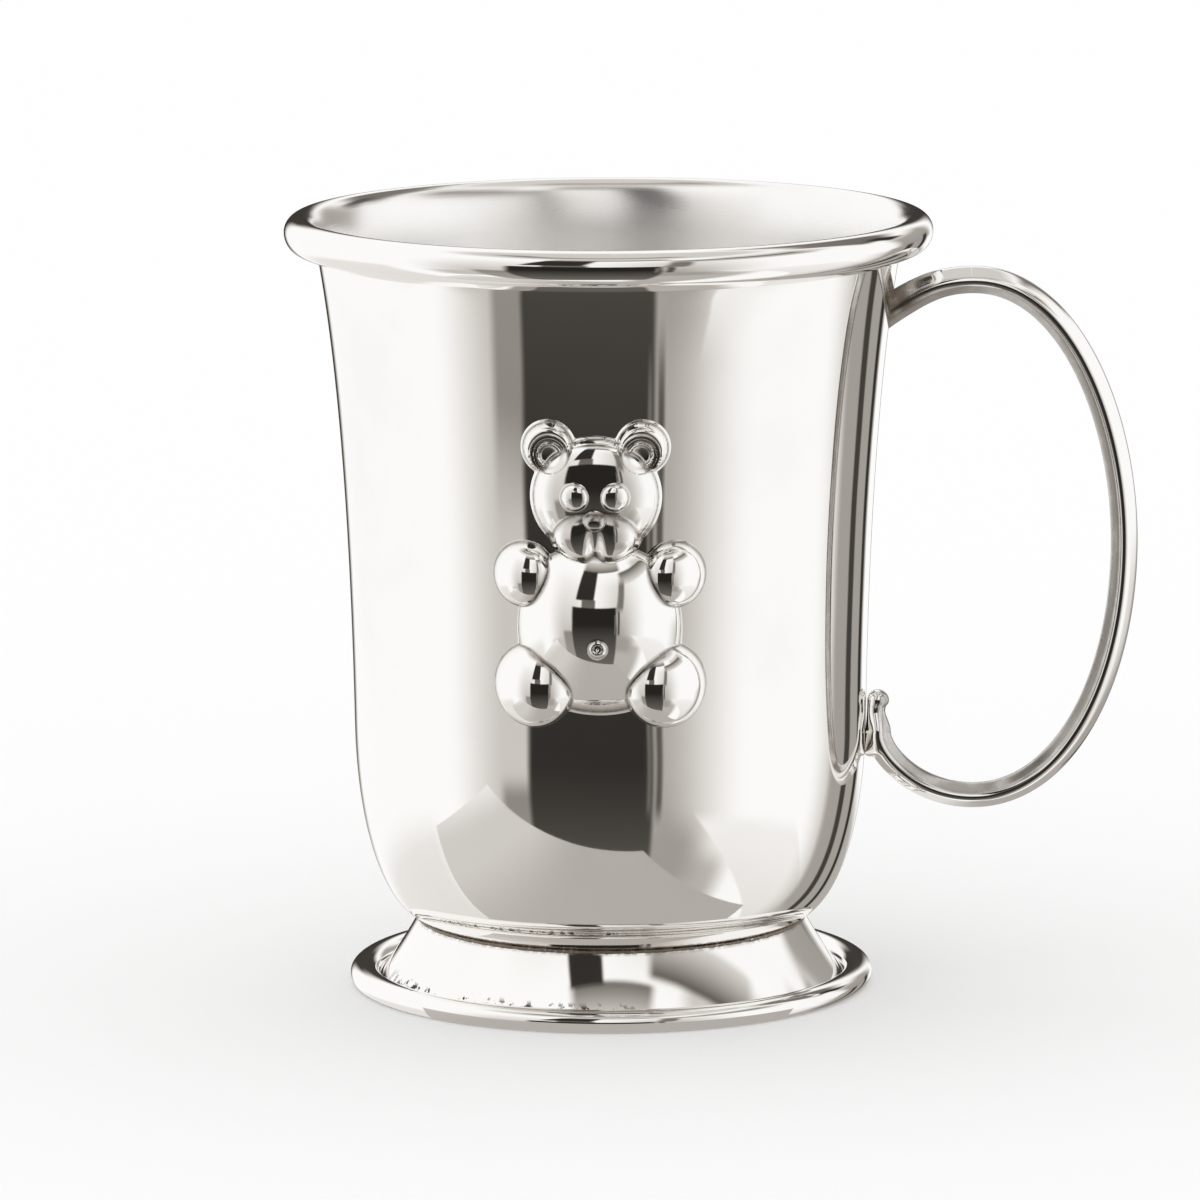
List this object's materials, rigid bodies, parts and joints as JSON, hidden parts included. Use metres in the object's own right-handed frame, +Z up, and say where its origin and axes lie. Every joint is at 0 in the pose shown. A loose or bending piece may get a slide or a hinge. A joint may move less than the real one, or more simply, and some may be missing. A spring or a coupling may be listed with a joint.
{
  "type": "baby cup",
  "caption": "Footed metal baby cup with a beaded rim, an ear-shaped handle ending in a ball and a seated teddy bear in relief on the front.",
  "frame": {"origin": "on the surface that the cup stands on, below the middle of its outer box; the cup's own axis is 11.1 mm towards -X because the handle sticks out on one side", "axes": "+Z up along the cup's axis, +X towards the handle, -Y out of the front where the bear sits"},
  "size_m": [0.0922, 0.07, 0.0843],
  "materials": {
    "bowl_silver": "mirror-polished silver plate outside, satin inside",
    "rim_silver": "mirror-polished silver plate",
    "foot_silver": "mirror-polished silver plate",
    "foot_bead_silver": "mirror-polished silver plate",
    "solder": "rough solder line, plated over",
    "handle_silver": "mirror-polished silver plate",
    "bear_silver": "mirror-polished silver plate"
  },
  "bodies": {
    "root": {"bowl": "bowl_silver", "rim_bead": "rim_silver", "foot": "foot_silver", "foot_bead": "foot_bead_silver", "foot_solder": "solder", "handle": "handle_silver", "bear": "bear_silver"}
  },
  "joints": []
}
